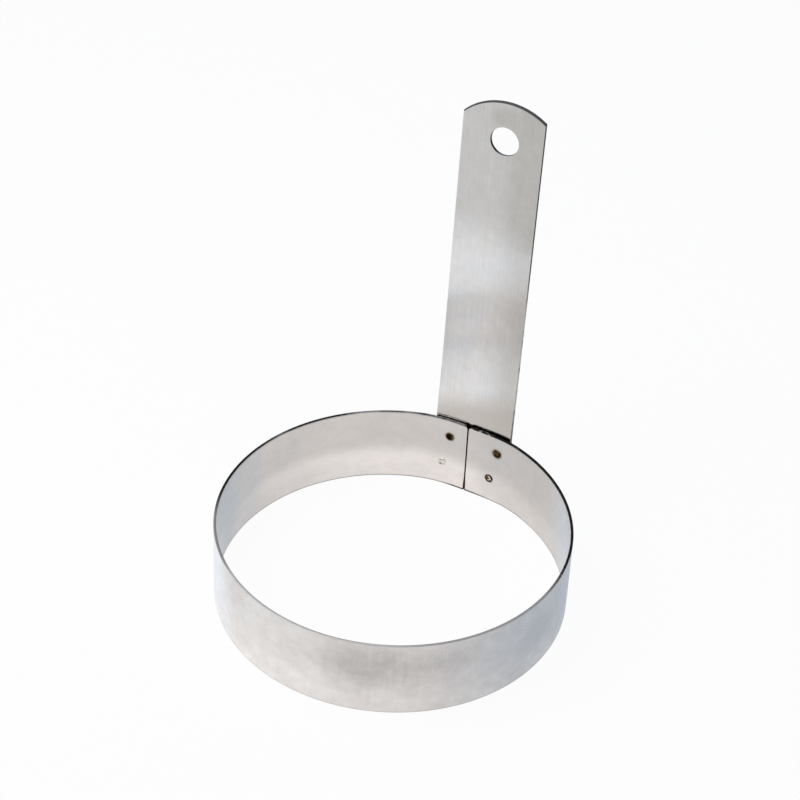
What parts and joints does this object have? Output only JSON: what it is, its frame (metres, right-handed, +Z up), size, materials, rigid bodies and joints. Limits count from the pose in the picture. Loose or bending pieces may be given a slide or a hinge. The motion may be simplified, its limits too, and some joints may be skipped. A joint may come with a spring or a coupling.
{
  "type": "egg ring",
  "caption": "Round stainless steel egg ring: a rolled strip band with a butt seam, and a flat upright strip handle spot welded over the seam, with a rounded end and a hanging hole.",
  "frame": {"origin": "on the surface that the ring stands on, under the middle of the whole object's box; the ring's own axis is 2.4 mm in front of it", "axes": "+Z up along the ring's axis, +Y from the ring's middle towards the handle, +X to the right seen from the front"},
  "size_m": [0.1032, 0.108, 0.1355],
  "materials": {
    "ring_steel": "satin mill finish with faint lines round the band and light handling smudges",
    "handle_steel": "satin mill finish with faint lines along the strip",
    "weld_tint": "heat tinted brown, with a shallow electrode dish"
  },
  "bodies": {
    "root": {"ring_band": "ring_steel", "handle_strap": "handle_steel", "spot_weld_upper_left": "weld_tint", "spot_weld_upper_right": "weld_tint", "spot_weld_lower_left": "weld_tint", "spot_weld_lower_right": "weld_tint"}
  },
  "joints": []
}
